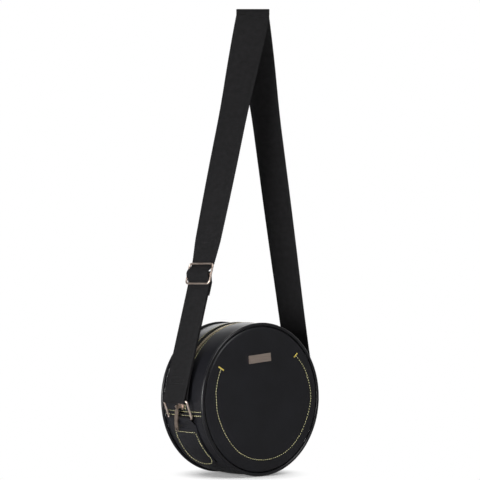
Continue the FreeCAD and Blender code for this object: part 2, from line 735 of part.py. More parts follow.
# Strap return: the inner layer of the left leg. From the ring it soon meets the strap, follows it over
# the adjuster's middle bar, turns round that bar, and ends sewn to itself on the inside.
LAYER = THICK + GAP
MIDDLE = (val("adjuster_rise") - FOOT.z) / LINE.z
MIDDLE_BAR = FOOT + LINE * MIDDLE + left_out * FRAME_OUT


def under_strap(distance, layers):
    # A station inside the strap's left leg, some layers below it, by its distance from the middle bar.
    lift, slope = wave(distance)
    normal = (left_out - LINE * slope).normalize()
    return FOOT + LINE * (MIDDLE + distance) + left_out * lift - normal * (LAYER * layers), across(0), normal


run = [(LEFT_BAR - left_out * WRAP + LINE * GAP, across(0), left_out)]
run.append(under_strap(val("layers_meet") - MIDDLE, 1.0))
run += [under_strap(HALF_TALL * i / 6, 1.0) for i in (-7, -6, -5, -4, -3, -2)]
for i in range(9):
    normal = Rotation(Y_AXIS, 180.0 * i / 8).multVec(left_out)
    run.append((MIDDLE_BAR + normal * BAR_WRAP, across(0), normal))
inside = left_out * -1
for distance, depth in ((-0.55, 2.35), (-1.0, 3.5), (-val("sewn_fold") / HALF_TALL, 3.5)):
    sewn = MIDDLE_BAR + LINE * (distance * HALF_TALL) - left_out * (FRAME_OUT + LAYER * 2 * depth / 3.5)
    run.append((sewn, across(0), inside))
keep_shape("strap_return_run", ribbon(run), Placement(TO_FRAME, Rotation()))


# Adjuster: a flat wire frame outside the strap, with its middle bar inside the return's fold.
def adjuster():
    wide = "sizes.webbing_wide + 1 + sizes.adjuster_wire"
    lean = Rotation(Y_AXIS, math.degrees(math.atan2(LINE.x, LINE.z)))
    low_bar = MIDDLE_BAR - LINE * HALF_TALL
    frame_sizes = ["sizes.adjuster_" + size for size in ("tall", "corner", "wire")]
    wire_frame("adjuster_frame", wide, *frame_sizes, Placement(TO_FRAME + low_bar, lean))
    reach = val("webbing_wide") + 0.8
    bar = doc.addObject("Part::Cylinder", "adjuster_bar")
    bar.setExpression("Radius", "sizes.adjuster_bar / 2")
    bar.setExpression("Height", "sizes.webbing_wide + 0.8")
    seat = MIDDLE_BAR - Y_AXIS * (reach / 2)
    keep(bar, "adjuster_bar", Placement(TO_FRAME + seat, Rotation(Vector(1, 0, 0), -90)))


adjuster()

doc.recompute()
os.makedirs("parts", exist_ok=True)
for obj in made:
    state = [word for word in obj.State if word in ("Invalid", "Error")]
    shape = obj.Shape
    if state or shape.isNull() or not shape.isValid() or not shape.Solids:
        raise RuntimeError("%s did not build: %s" % (obj.Label, obj.State))
    box = shape.BoundBox
    limits = (box.XMin, box.XMax, box.YMin, box.YMax, box.ZMin, box.ZMax)
    spans = "x %.1f %.1f  y %.1f %.1f  z %.1f %.1f" % limits
    print("%-18s solids %3d  volume %9.1f  %s" % (obj.Label, len(shape.Solids), shape.Volume, spans))
    shape.exportStep("parts/%s.step" % obj.Label)
print("left bar", LEFT_BAR + TO_FRAME, "right bar", RIGHT_BAR + TO_FRAME, "left leg", LINE)
print("pieces", len(made))
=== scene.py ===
import json
import math

import bmesh
import bpy
from mathutils import Matrix, Vector, noise
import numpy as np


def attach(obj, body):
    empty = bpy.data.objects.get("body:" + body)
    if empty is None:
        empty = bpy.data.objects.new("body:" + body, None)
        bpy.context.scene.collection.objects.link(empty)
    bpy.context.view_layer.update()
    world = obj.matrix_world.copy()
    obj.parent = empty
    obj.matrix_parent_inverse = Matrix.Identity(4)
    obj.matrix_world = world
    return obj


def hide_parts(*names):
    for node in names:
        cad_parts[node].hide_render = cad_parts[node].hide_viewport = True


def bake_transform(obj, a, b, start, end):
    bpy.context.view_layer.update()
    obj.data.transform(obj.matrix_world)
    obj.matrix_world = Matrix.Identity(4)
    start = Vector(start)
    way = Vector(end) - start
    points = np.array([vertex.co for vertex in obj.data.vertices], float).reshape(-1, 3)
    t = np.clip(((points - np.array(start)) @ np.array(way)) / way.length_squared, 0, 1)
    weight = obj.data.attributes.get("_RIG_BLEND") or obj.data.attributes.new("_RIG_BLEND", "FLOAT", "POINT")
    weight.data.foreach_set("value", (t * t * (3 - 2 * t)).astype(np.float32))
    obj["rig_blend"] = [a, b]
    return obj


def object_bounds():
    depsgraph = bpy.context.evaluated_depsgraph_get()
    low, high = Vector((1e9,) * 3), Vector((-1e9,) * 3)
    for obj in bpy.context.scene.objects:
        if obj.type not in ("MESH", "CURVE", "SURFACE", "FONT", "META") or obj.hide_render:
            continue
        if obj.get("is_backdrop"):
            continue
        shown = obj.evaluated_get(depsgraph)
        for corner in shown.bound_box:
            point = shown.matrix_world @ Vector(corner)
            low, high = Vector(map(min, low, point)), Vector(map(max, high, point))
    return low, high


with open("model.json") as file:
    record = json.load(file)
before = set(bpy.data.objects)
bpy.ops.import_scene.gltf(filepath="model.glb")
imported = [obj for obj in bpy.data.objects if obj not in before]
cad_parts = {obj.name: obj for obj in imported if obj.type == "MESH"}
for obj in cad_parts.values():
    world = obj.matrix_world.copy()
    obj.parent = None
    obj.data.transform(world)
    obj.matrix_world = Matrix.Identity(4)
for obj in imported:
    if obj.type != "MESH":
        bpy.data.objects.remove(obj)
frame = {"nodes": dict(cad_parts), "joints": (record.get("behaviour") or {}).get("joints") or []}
cad_low, cad_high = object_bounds()
nodes = frame["nodes"]
joint = {item["name"]: item for item in frame["joints"]}


# Stiffening boards: two round sheets of grey fibreboard behind the panels, cut flat and slipped in
# before the lining is closed. They keep the ends of the drum flat, and their solids are right as made.
def linear(code):
    # An sRGB hex colour as the linear values that a shader takes.
    parts = [int(code[i:i + 2], 16) / 255 for i in (0, 2, 4)]
    return [c / 12.92 if c <= 0.04045 else ((c + 0.055) / 1.055) ** 2.4 for c in parts] + [1.0]


def node(tree, kind, *firsts, **settings):
    # One shader node. A setting is a property, or an input's value or the socket linked to it; the
    # sockets in firsts are linked to its first inputs.
    made = tree.nodes.new("ShaderNode" + kind)
    for word, value in settings.items():
        name = word.replace("_", " ")
        if name not in made.inputs:
            setattr(made, word, value)
        elif isinstance(value, bpy.types.NodeSocket):
            tree.links.new(value, made.inputs[name])
        else:
            made.inputs[name].default_value = value
    for socket, place in zip(firsts, made.inputs):
        tree.links.new(socket, place)
    return made


def new_material(name):
    material = bpy.data.materials.new(name)
    material.use_nodes = True
    material.node_tree.nodes.clear()
    return material, material.node_tree


def two_tone(tree, fac, dark, light, low=0.3, high=0.7):
    # A colour that goes from a dark to a light tone of one material with a pattern.
    ramp = node(tree, "ValToRGB", fac)
    for stop, place, code in zip(ramp.color_ramp.elements, (low, high), (dark, light)):
        stop.position = place
        stop.color = linear(code)
    return ramp.outputs[0]


def paint(material, *names):
    for name in names:
        mesh = nodes[name].data
        mesh.materials.clear()
        mesh.materials.append(material)


# Fibreboard: pressed pulp, matt and mottled, with flecks about 2 mm across.
fibreboard, tree = new_material("fibreboard")
place = node(tree, "TexCoord").outputs["Object"]
fleck = node(tree, "TexNoise", place, Scale=1 / 0.002, Detail=4.0).outputs[0]
rise = node(tree, "Bump", Strength=0.3, Distance=0.0002, Height=fleck).outputs[0]
skin = node(tree, "BsdfPrincipled", two_tone(tree, fleck, "6D6A66", "8B8781"), Roughness=0.85, Normal=rise)
node(tree, "OutputMaterial", skin.outputs[0])
paint(fibreboard, "front_board", "back_board")


# Lining: thin black plain-woven polyester, cut as two discs and three strips and sewn in with the
# piping. It is pulled flat on the boards and on the side of the drum.
MM = 0.001
TILT = -5.0
drum = Vector(joint["zip_travel"]["pos_m"])
hang = Matrix.Translation(drum) @ Matrix.Rotation(math.radians(TILT), 4, "Y") @ Matrix.Scale(MM, 4)
RADIUS = 90.0
CROWN = 240.0


def turned(profile, start, sweep, steps):
    # Spins a profile of (depth, radius) points about the drum's axis, from one polar angle over a sweep.
    bm = bmesh.new()
    turn = math.radians(start)
    points = [bm.verts.new((r * math.cos(turn), y, r * math.sin(turn))) for y, r in profile]
    edges = [bm.edges.new(pair) for pair in zip(points, points[1:])]
    full = abs(sweep) >= 360.0
    bmesh.ops.spin(bm, geom=points + edges, cent=(0, 0, 0), axis=(0, -1, 0), angle=math.radians(sweep),
                   steps=steps, use_merge=full)
    bmesh.ops.remove_doubles(bm, verts=bm.verts, dist=0.002)
    bmesh.ops.recalc_face_normals(bm, faces=bm.faces)
    return bm


def piece(name, bm, material, body="bag", stands_for=(), place=hang):
    # Puts a finished mesh in the frame as an object. It rides on a body, or is left to be blended.
    bmesh.ops.transform(bm, matrix=place, verts=bm.verts)
    mesh = bpy.data.meshes.new(name)
    bm.to_mesh(mesh)
    bm.free()
    mesh.polygons.foreach_set("use_smooth", [True] * len(mesh.polygons))
    mesh.materials.append(material)
    made = bpy.data.objects.new(name, mesh)
    bpy.context.scene.collection.objects.link(made)
    if body:
        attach(made, body)
    if stands_for:
        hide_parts(*stands_for)
    return made


def thicken(made, thick, edge=0.0):
    # Gives a sheet its thickness on the inner side, and rounds its cut edges.
    wall = made.modifiers.new("thickness", "SOLIDIFY")
    wall.thickness = thick * MM
    wall.offset = -1.0
    wall.use_even_offset = True
    if edge:
        rim = made.modifiers.new("edges", "BEVEL")
        rim.width = edge * MM
        rim.segments = 3
        rim.limit_method = "ANGLE"
        rim.angle_limit = math.radians(50)


def crown_at(y, depth):
    # The drum's side is crowned: its radius at a depth below the leather, across the bag.
    return RADIUS - CROWN + math.sqrt((CROWN - depth) ** 2 - y ** 2)


def across(low, high, depth, count):
    return [(y, crown_at(y, depth)) for y in (low + (high - low) * i / count for i in range(count + 1))]


def outward(bm, hub_y=None):
    # Open strips get their outer face away from the drum's axis, open discs away from its middle.
    for face in bm.faces:
        middle = face.calc_center_median()
        way = Vector((middle.x, 0, middle.z)) if hub_y is None else Vector((0, hub_y, 0))
        if face.normal.dot(way) < 0:
            face.normal_flip()
    return bm


# Lining polyester: a plain weave of fine yarn. Real yarns are 0.2 mm apart; drawn at 0.6 mm to show.
YARN = 0.0006
WAVE = math.pi / 10
lining, tree = new_material("lining_polyester")
place = node(tree, "TexCoord").outputs["Object"]
warp = node(tree, "TexWave", place, Scale=WAVE / YARN, bands_direction="X").outputs[1]
weft = node(tree, "TexWave", place, Scale=WAVE / YARN, bands_direction="Z").outputs[1]
weave = node(tree, "Math", warp, weft, operation="MAXIMUM").outputs[0]
rise = node(tree, "Bump", Strength=0.4, Distance=0.0001, Height=weave).outputs[0]
skin = node(tree, "BsdfPrincipled", two_tone(tree, weave, "141416", "1C1C1F"), Roughness=0.7, Normal=rise)
node(tree, "OutputMaterial", skin.outputs[0])

EDGE = 35.2
SEAM = 4.2
SEAM_GAP = 0.1
LINING = 0.7
LINING_R = 83.2
LINING_Y = 36.5
LINING_MOUTH = 13.4
for word, side in (("front", -1), ("back", 1)):
    rows = [(side * LINING_Y, r) for r in (0.0, LINING_R / 2, LINING_R)]
    disc = piece("lining_disc_" + word, outward(turned(rows, 0, 360, 96), side), lining,
                 stands_for=[word + "_lining"])
    thicken(disc, LINING)
UNDER = 1.85
LOWER = (180 + SEAM + SEAM_GAP, 180 - 2 * SEAM - 2 * SEAM_GAP)
UPPER = (-SEAM + SEAM_GAP, 180 + 2 * SEAM - 2 * SEAM_GAP)
strips = (("lower", -EDGE, EDGE, LOWER, "lower_lining", "lower_gusset"),
          ("zip_front", -EDGE, -LINING_MOUTH, UPPER, "zip_lining_front", "zip_gusset_front"),
          ("zip_back", LINING_MOUTH, EDGE, UPPER, "zip_lining_back", "zip_gusset_back"))
for word, low, high, (start, sweep), solid, outside in strips:
    strip = piece("lining_" + word, outward(turned(across(low, high, UNDER, 8), start, sweep, 90)), lining,
                  stands_for=[solid])
    thicken(strip, LINING)
    long = math.radians(sweep) * crown_at((low + high) / 2, UNDER)


# Slip pocket: a panel of the same cloth inside the front, with a straight open mouth. The seam that holds
# it goes through the front leather, where it shows as the round row of stitches.
POCKET_Y = -35.6
POCKET_R = 75.0
POCKET_TOP = 43.0
bm = turned([(POCKET_Y, 0.0), (POCKET_Y, POCKET_R / 2), (POCKET_Y, POCKET_R)], 0, 360, 96)
bmesh.ops.bisect_plane(bm, geom=bm.verts[:] + bm.edges[:] + bm.faces[:], plane_co=(0, 0, POCKET_TOP),
                       plane_no=(0, 0, 1), clear_outer=True)
pocket = piece("slip_pocket", outward(bm, -1), lining, stands_for=["inner_pocket"])
thicken(pocket, LINING)


# End panels: round pieces of smooth black coated leather, skived at the rim and rolled back so that the
# seam lies in a groove beside the piping. Both are slightly fuller in the middle.
def black_leather(name, dark, light, rough):
    # Coated leather: a smooth satin film over a fine pebble about 0.9 mm across, with soft cloudy shade.
    # It gives a dark face and a bright sheen where the light grazes it.
    material, tree = new_material(name)
    place = node(tree, "TexCoord").outputs["Object"]
    pebble = node(tree, "TexVoronoi", place, Scale=1 / 0.0009, feature="SMOOTH_F1").outputs[0]
    cloud = node(tree, "TexNoise", place, Scale=1 / 0.03, Detail=3.0).outputs[0]
    pore = node(tree, "TexNoise", place, Scale=1 / 0.0025, Detail=3.0).outputs[0]
    gloss = node(tree, "MapRange", pore, To_Min=rough - 0.05, To_Max=rough + 0.06).outputs[0]
    fine = node(tree, "Bump", Strength=0.14, Distance=0.0001, Height=pebble).outputs[0]
    rise = node(tree, "Bump", Strength=0.1, Distance=0.0003, Height=pore, Normal=fine).outputs[0]
    skin = node(tree, "BsdfPrincipled", two_tone(tree, cloud, dark, light), Roughness=gloss, IOR=1.47,
                Specular_IOR_Level=0.5, Normal=rise)
    node(tree, "OutputMaterial", skin.outputs[0])
    return material


leather = black_leather("coated_leather", "131317", "19191E", 0.38)
HALF = 40.0
ROLL = 3.6
RIM = 85.7
PUFF = 0.7
FLAT_R = 54.0
PANEL_THICK = 1.5


def panel_profile(side):
    # From the middle out: flat, then falling slightly, then a quarter roll down to the seam.
    rows = [(side * HALF, r) for r in (0.0, 12.0, 24.0, 36.0, 46.0, FLAT_R)]
    turn = RIM - ROLL
    for i in range(1, 11):
        share = i / 10
        rows.append((side * (HALF - PUFF * share ** 2), FLAT_R + (turn - FLAT_R) * share))
    depth = HALF - PUFF - LINING_Y
    for i in range(1, 9):
        angle = math.pi / 2 * i / 8
        rows.append((side * (LINING_Y + depth * math.cos(angle)), turn + ROLL * math.sin(angle)))
    return rows


for word, side in (("front", -1), ("back", 1)):
    bm = outward(turned(panel_profile(side), 0, 360, 180), side)
    made = piece(word + "_leather_panel", bm, leather, stands_for=[word + "_panel"])
    thicken(made, PANEL_THICK)


# Thread: waxed yellow polyester, sewn about 3 mm to the stitch. Each stitch is a short plump length
# that lies a little aslant on the leather and dips into a hole at both ends.
PITCH = 3.2


def thread_yarn(name, dark, light):
    # Twisted polyester yarn: plies about 0.6 mm long catch the light in turn, so the shade flickers.
    material, tree = new_material(name)
    place = node(tree, "TexCoord").outputs["Object"]
    ply = node(tree, "TexNoise", place, Scale=1 / 0.0006, Detail=2.0).outputs[0]
    rise = node(tree, "Bump", Strength=0.5, Distance=0.0002, Height=ply).outputs[0]
    skin = node(tree, "BsdfPrincipled", two_tone(tree, ply, dark, light), Roughness=0.6, Normal=rise)
    node(tree, "OutputMaterial", skin.outputs[0])
    return material


thread = thread_yarn("waxed_thread", "D8D190", "FAF4C2")


def stitches(name, places, material=thread, length=2.1, wide=0.37, slant=7.0, body="bag", place=hang):
    # places: (point, direction along the row, direction out of the piece), in the drum's millimetres.
    bm = bmesh.new()
    for point, along, out in places:
        along = along.normalized()
        side = out.cross(along).normalized()
        lean = along * math.cos(math.radians(slant)) + side * math.sin(math.radians(slant))
        turn = Matrix((lean, out.cross(lean), out)).transposed().to_4x4()
        shape = Matrix.Diagonal((length / 2, wide, wide * 0.8, 1.0))
        lay = Matrix.Translation(point) @ turn @ shape @ Matrix.Rotation(math.pi / 2, 4, "Y")
        bmesh.ops.create_uvsphere(bm, u_segments=6, v_segments=6, radius=1.0, matrix=lay)
    piece(name, bm, material, body=body, place=place)


def sewn(path, pitch=PITCH):
    # Stitches at an even pitch along a close path of (point, way out) pairs.
    places = []
    travelled = pitch / 2
    for (a, out), (b, _) in zip(path, path[1:]):
        travelled += (b - a).length
        if travelled >= pitch:
            travelled -= pitch
            places.append(((a + b) / 2, b - a, out))
    return places


# The round row is sewn by eye, so its radius wanders a little: (polar angle, radius).
U_CENTRE = Vector((1.9, -HALF - 0.05, 1.1))
U_ROW = [(145.2, 73.7), (163.0, 72.7), (180.0, 71.0), (208.0, 69.9), (240.0, 71.8), (270.0, 72.2),
         (292.0, 73.0), (330.0, 72.3), (354.0, 73.7), (374.0, 72.2), (399.7, 70.1)]


def u_radius(angle):
    for (a, low), (b, high) in zip(U_ROW, U_ROW[1:]):
        if angle <= b:
            break
    share = 0.5 - 0.5 * math.cos(math.pi * min(1.0, (angle - a) / (b - a)))
    return low + (high - low) * share


def polar(radius, angle):
    turn = math.radians(angle)
    return Vector((radius * math.cos(turn), 0, radius * math.sin(turn)))


FRONT = Vector((0, -1, 0))
first, last = U_ROW[0][0], U_ROW[-1][0]
angles = [first + (last - first) * i / 1500 for i in range(1501)]
stitches("pocket_stitch", sewn([(U_CENTRE + polar(u_radius(a), a), FRONT) for a in angles]))

# Bar tacks: dense satin bars that lock the two ends of that row, sewn across it in a yellower thread. Each
# has its row end's angle, the radius of its middle and its length.
tack_thread = thread_yarn("tack_thread", "BFA63C", "EEDC74")
for word, angle, middle, long in (("left", first, 74.0, 8.2), ("right", last, 70.0, 6.4)):
    spots = [U_CENTRE + polar(middle + long * (i / 10 - 0.5), angle) + FRONT * 0.15 for i in range(11)]
    bars = [(spot, polar(1.0, angle + 90), FRONT) for spot in spots]
    stitches("bar_tack_" + word, bars, tack_thread, length=1.9, wide=0.5, slant=12.0)


# Piping: a cord covered with a bias strip of thinner leather, trapped in the seam round each panel. The
# strip gathers into fine wrinkles where it is pulled round the curve.
PIPE_R = 88.0
PIPE_WIRE = 2.0
PIPE_Y = 37.6
GATHER_RUN = 30.0
CRINKLE_RUN = 1.7
CRINKLE = 0.3
LUMP = 0.1
# Glazed bias leather: thinner and shinier than the panels, with creases about 3 mm apart.
piping_leather, tree = new_material("piping_leather")
place = node(tree, "TexCoord").outputs["Object"]
crease = node(tree, "TexNoise", place, Scale=1 / 0.003, Detail=4.0, Distortion=0.8).outputs[0]
rise = node(tree, "Bump", Strength=0.3, Distance=0.0003, Height=crease).outputs[0]
gloss = node(tree, "MapRange", crease, To_Min=0.24, To_Max=0.38).outputs[0]
skin = node(tree, "BsdfPrincipled", two_tone(tree, crease, "131316", "18181B"), Roughness=gloss, IOR=1.47,
            Specular_IOR_Level=0.5, Normal=rise)
node(tree, "OutputMaterial", skin.outputs[0])
for word, side in (("front", -1), ("back", 1)):
    ring = []
    for i in range(17):
        angle = 2 * math.pi * i / 16
        ring.append((side * PIPE_Y + PIPE_WIRE * math.sin(angle), PIPE_R + PIPE_WIRE * math.cos(angle)))
    bm = turned(ring, 0, 360, 720)
    for vert in bm.verts:
        run = math.atan2(vert.co.x, vert.co.z) * PIPE_R
        gather = max(0.0, noise.noise(Vector((run / GATHER_RUN, side, 0.0))))
        crinkle = noise.noise(Vector((run / CRINKLE_RUN, 2.0 * side, vert.co.y / 6.0)))
        vert.co += vert.normal * (LUMP * noise.noise(vert.co * 0.2) + CRINKLE * gather * crinkle)
    piece(word + "_covered_piping", bm, piping_leather, stands_for=[word + "_piping"])


# Side of the drum: a wide lower strip, and two narrower strips above it with turned lips beside the zip.
# They meet at the ring tabs in a plain seam, topstitched on both sides.
WAVINESS = 0.045
WAVE_START = Vector((3.1, 0.7, 5.2))


def soften(bm, high):
    # Leather over nothing but lining lies in slow shallow waves.
    for vert in bm.verts:
        vert.co += vert.normal * high * noise.noise(vert.co * WAVINESS + WAVE_START)
    return bm


LIP = 5.5
LIP_DIP = 1.1
LIP_REACH = 3.0
LOWER_THICK = 1.6
LIP_THICK = 1.2
CUT_EDGE = 0.4
bm = outward(turned(across(-EDGE, EDGE, 0.0, 24), *LOWER, 150))
lower = piece("lower_side", soften(bm, 0.25), leather, stands_for=["lower_gusset"])
thicken(lower, LOWER_THICK, edge=CUT_EDGE)


def lip_profile(side):
    # From the zip's lip, which the stitching pulls down to the teeth, out to the piping.
    rows = []
    for y in (LIP, 5.9, 6.4, 6.9, 7.4, 7.9, 8.4, 9.0, 10.0, 13.0, 17.0, 21.0, 25.0, 29.0, 32.0, EDGE):
        dip = LIP_DIP * max(0.0, 1 - (y - LIP) / LIP_REACH) ** 2
        rows.append((side * y, crown_at(y, 0.0) - dip))
    return rows


for word, side in (("front", -1), ("back", 1)):
    made = piece("zip_side_" + word, soften(outward(turned(lip_profile(side), *UPPER, 160)), 0.2), leather,
                 stands_for=["zip_gusset_" + word])
    thicken(made, LIP_THICK, edge=CUT_EDGE)


def on_side(y, angle, lift=0.1):
    # A point on the drum's side, and the way out of it there.
    return Vector((0, y, 0)) + polar(crown_at(y, 0.0) + lift, angle), polar(1.0, angle)


LIP_ROW = 7.6
LIP_ROW_FROM = -2.0
LIP_ROW_SWEEP = 184.0
SEAM_ROWS = (2.7, 5.7)
for word, y in (("front", -LIP_ROW), ("back", LIP_ROW)):
    path = [on_side(y, LIP_ROW_FROM + LIP_ROW_SWEEP * i / 1200) for i in range(1201)]
    stitches("zip_stitch_" + word, sewn(path))
for word, start, sign in (("left", 180.0, 1), ("right", 0.0, -1)):
    rows = []
    for below in SEAM_ROWS:
        rows += sewn([on_side((EDGE - 1.5) * (i / 150 - 1), start + sign * below) for i in range(301)])
    stitches("seam_stitch_" + word, rows)


# Zip tapes: black twill tapes sewn under the leather lips, their inner edges held in the teeth. They run
# the whole length of the zip.
# Twill: close diagonal ridges. Real ones are 0.5 mm apart; drawn at 1 mm to show.
TWILL = 0.001
tape, tree = new_material("zip_tape_twill")
place = node(tree, "TexCoord").outputs["Object"]
lines = node(tree, "TexWave", place, Scale=WAVE / TWILL, bands_direction="DIAGONAL").outputs[1]
rise = node(tree, "Bump", Strength=0.5, Distance=0.0002, Height=lines).outputs[0]
skin = node(tree, "BsdfPrincipled", two_tone(tree, lines, "0E0E10", "161618"), Roughness=0.85, Normal=rise)
node(tree, "OutputMaterial", skin.outputs[0])
TAPE_OUTER = 13.0
TAPE_INNER = 1.35
TAPE_DEPTH = 2.3
TAPE_THICK = 0.6
for word, low, high in (("front", -TAPE_OUTER, -TAPE_INNER), ("back", TAPE_INNER, TAPE_OUTER)):
    bm = outward(turned(across(low, high, TAPE_DEPTH, 6), *UPPER, 150))
    made = piece("zip_cloth_" + word, bm, tape, stands_for=["zip_tape_" + word])
    thicken(made, TAPE_THICK)


# Zip metal: brass teeth clamped on the tape edges, three stops, and the slider. All are plated light gold,
# with brighter patches where they are rubbed. Their solids are right as made.
def plated(name, base, worn, rough):
    # Plated brass: a smooth bright coat that handling rubs in patches about 4 mm across.
    material, tree = new_material(name)
    place = node(tree, "TexCoord").outputs["Object"]
    rub = node(tree, "TexNoise", place, Scale=1 / 0.004, Detail=4.0).outputs[0]
    gloss = node(tree, "MapRange", rub, To_Min=rough - 0.06, To_Max=rough + 0.1).outputs[0]
    rise = node(tree, "Bump", Strength=0.08, Distance=0.0001, Height=rub).outputs[0]
    skin = node(tree, "BsdfPrincipled", two_tone(tree, rub, base, worn, 0.35, 0.75), Metallic=1.0,
                Roughness=gloss, Normal=rise)
    node(tree, "OutputMaterial", skin.outputs[0])
    return material


light_gold = plated("light_gold_plate", "E3CDBF", "F4E4D9", 0.4)
tooth_metal = plated("tooth_plate", "D2BFA2", "F0E2C8", 0.42)
paint(tooth_metal, "zip_teeth_front", "zip_teeth_back", "zip_end_stops")
paint(light_gold, "zip_slider")

# Pull: a slim bar on the slider's pin. Its plate is given a darker and duller tone than the slider's, and
# its solid is right as made.
pull_metal = plated("darker_pull_plate", "A8978B", "CFBEB1", 0.44)
paint(pull_metal, "zip_pull")


# Ring tabs: a leather strip folded round the ring's lower bar and sewn flat to the side of the drum, with
# rounded lower corners and a closed row of stitches.
TAB_WIDE = 45.0
TAB_NECK = 39.0
TAB_END = 231.5
TAB_ROUND = 12.0
RING_ANGLE = 187.5
BAR_RISE = 2.75
TAB_LIFT = 0.25
TAB_THICK = 1.2
LOOP = 1.95
LOOP_FROM = -105
LOOP_SWEEP = 195
LOOP_JOINS = 5.5
FLARE_FROM = 6.0
FLARE = 11.0
SETTLE = 6.0


def flat_outline(half, thick, columns):
    # A flat strip's cross-section, as (across, out) points: two level faces and two round edges.
    r = thick / 2
    reach = half - r
    points = [(reach * (2 * i / columns - 1), -r) for i in range(columns)]
    points += [(reach + r * math.sin(a), -r * math.cos(a)) for a in (0.0, 0.79, 1.57, 2.36)]
    points += [(reach * (1 - 2 * i / columns), r) for i in range(columns)]
    points += [(-reach - r * math.sin(a), r * math.cos(a)) for a in (0.0, 0.79, 1.57, 2.36)]
    return points


def drawn(outline, stations, started=0.0):
    # Draws a closed outline through stations of (centre, across, along) and closes both ends. The place
    # across and the run are kept as an unwrapped map.
    bm = bmesh.new()
    row = bm.verts.layers.float.new("row")
    run = bm.verts.layers.float.new("run")
    unwrapped = bm.loops.layers.uv.new("weave")
    seats = []
    for centre, wide, along in stations:
        turn = Matrix((wide, along, wide.cross(along))).transposed().to_4x4()
        seats.append(Matrix.Translation(centre) @ turn)
    verts = []
    for w, out in outline:
        vert = bm.verts.new(seats[0] @ Vector((w, 0, out)))
        vert[row] = w
        vert[run] = started
        verts.append(vert)
    edges = [bm.edges.new(pair) for pair in zip(verts, verts[1:] + verts[:1])]
    bmesh.ops.contextual_create(bm, geom=edges)
    travelled = started
    for before, after in zip(seats, seats[1:]):
        grown = bmesh.ops.extrude_edge_only(bm, edges=edges)["geom"]
        verts = [part for part in grown if isinstance(part, bmesh.types.BMVert)]
        fresh = set(verts)
        edges = [part for part in grown if isinstance(part, bmesh.types.BMEdge) and set(part.verts) <= fresh]
        bmesh.ops.transform(bm, matrix=after @ before.inverted(), verts=verts)
        travelled += (after.translation - before.translation).length
        for vert in verts:
            vert[run] = travelled
    bmesh.ops.contextual_create(bm, geom=edges)
    for face in bm.faces:
        for corner in face.loops:
            corner[unwrapped].uv = (corner.vert[row] * MM, corner.vert[run] * MM)
    bmesh.ops.recalc_face_normals(bm, faces=bm.faces)
    return bm


def mirrored(way, side):
    # The left side's shapes are turned over for the right side.
    return Vector((-way.x, way.y, way.z)) if side > 0 else way


def tab_stations(side):
    # From behind the bar, over it, and down the drum to the tongue's end; the middle of the leather.
    bar = polar(RADIUS + BAR_RISE, RING_ANGLE)
    out = polar(1.0, RING_ANGLE)
    down = polar(1.0, RING_ANGLE + 90)
    route = []
    for i in range(9):
        angle = math.radians(LOOP_FROM + LOOP_SWEEP * i / 8)
        spot = bar + (out * math.sin(angle) - down * math.cos(angle)) * LOOP
        route.append((spot, out * math.cos(angle) + down * math.sin(angle)))
    join = RING_ANGLE + LOOP_JOINS
    for i in range(61):
        angle = join + (TAB_END - join) * math.sin(math.pi / 2 * i / 60)
        route.append((polar(RADIUS + TAB_LIFT + TAB_THICK / 2, angle), polar(1.0, angle + 90)))
    wide = Vector((0, 1, 0))
    return [(mirrored(centre, side), wide, mirrored(along, side)) for centre, along in route]


def tab_half(run, total):
    # Half the strip's width along its run: narrower in the ring, rounded off at the end.
    wider = min(1.0, max(0.0, (run - FLARE_FROM) / FLARE))
    half = TAB_NECK / 2 + (TAB_WIDE - TAB_NECK) / 2 * wider
    left = total - run
    if left < TAB_ROUND:
        half -= TAB_ROUND - math.sqrt(max(0.0, TAB_ROUND ** 2 - (TAB_ROUND - left) ** 2))
    return half


# The row of stitches runs inside the edge, with wider corners than the leather has at the tongue's end.
TAB_INSET = 2.6
TOP_ROW = 198.3
TOP_IN = 1.2
LOW_ROW = TAB_END - math.degrees(TAB_INSET / RADIUS)
BEND = TAB_ROUND - TAB_INSET + 6.0
BEND_ANGLE = math.degrees(BEND / RADIUS)


def tab_corners():
    # The corners of a tab's row of stitches, as (place across, polar angle), closed.
    half = TAB_WIDE / 2 - TAB_INSET
    corners = [(TOP_IN - half, TOP_ROW), (half - TOP_IN, TOP_ROW), (half, LOW_ROW - BEND_ANGLE)]
    for i in range(1, 9):
        a = math.pi / 2 * i / 8
        corners.append((half - BEND + BEND * math.cos(a), LOW_ROW - BEND_ANGLE * (1 - math.sin(a))))
    corners += [(-y, angle) for y, angle in corners[:1:-1]]
    return corners + corners[:1]


for word, side in (("left", -1), ("right", 1)):
    bm = drawn(flat_outline(TAB_WIDE / 2, TAB_THICK, 20), tab_stations(side))
    run = bm.verts.layers.float["run"]
    total = max(vert[run] for vert in bm.verts)
    for vert in bm.verts:
        vert.co.y *= tab_half(vert[run], total) / (TAB_WIDE / 2)
        sink = RADIUS - crown_at(vert.co.y, 0.0)
        follow = min(1.0, max(0.0, (vert[run] - FLARE_FROM) / SETTLE))
        shrink = 1 - sink * follow / math.hypot(vert.co.x, vert.co.z)
        vert.co.x *= shrink
        vert.co.z *= shrink
    piece("ring_tab_" + word, bm, leather, stands_for=[word + "_tab"])
    path = []
    corners = tab_corners()
    for (y, angle), (next_y, next_angle) in zip(corners, corners[1:]):
        for i in range(60):
            point, out = on_side(y + (next_y - y) * i / 60, angle + (next_angle - angle) * i / 60,
                                 TAB_LIFT + TAB_THICK + 0.1)
            path.append((mirrored(point, side), mirrored(out, side)))
    stitches("tab_stitch_" + word, sewn(path))


# Rings: two rectangular rings of round plated wire, one in each tab. Their solids are right as made, and
# take the same plate as the slider.
paint(light_gold, "left_ring", "right_ring")


